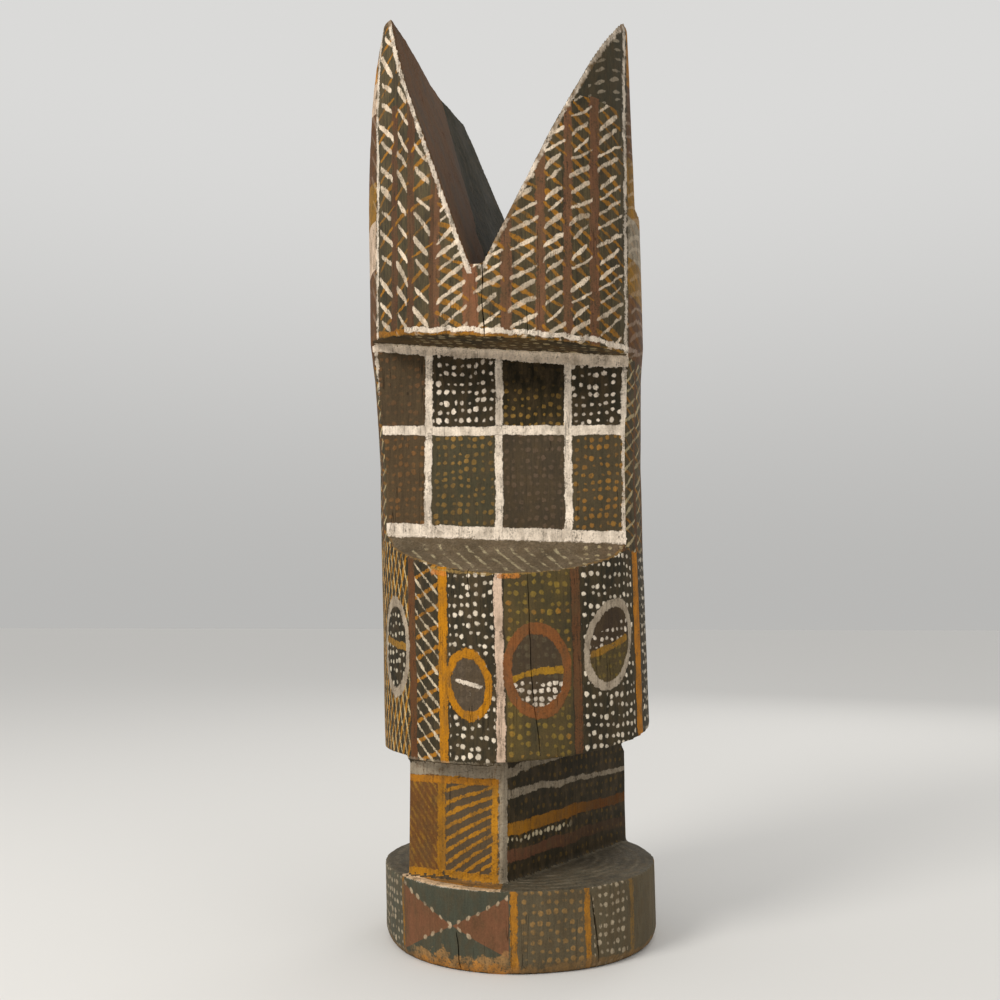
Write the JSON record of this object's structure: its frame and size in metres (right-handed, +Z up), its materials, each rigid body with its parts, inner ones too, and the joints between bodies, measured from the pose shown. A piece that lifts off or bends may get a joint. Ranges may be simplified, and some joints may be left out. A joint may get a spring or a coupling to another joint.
{
  "type": "carved and painted spirit figure",
  "caption": "Standing spirit figure carved from one hardwood log, with a forked crown, a niche, a drum and a slab waist, painted in earth colours.",
  "frame": {"origin": "on the ground, under the middle of the figure's bounding box", "axes": "+Z up along the log, -Y towards the front with the niche, +X to a viewer's right when looking at the front"},
  "size_m": [0.2652, 0.2494, 0.8276],
  "materials": {
    "painted_hardwood": "matte earth pigments on dark hardwood: charcoal ground with white, yellow and red ochre"
  },
  "bodies": {
    "root": {"carved_figure": "painted_hardwood"}
  },
  "joints": []
}
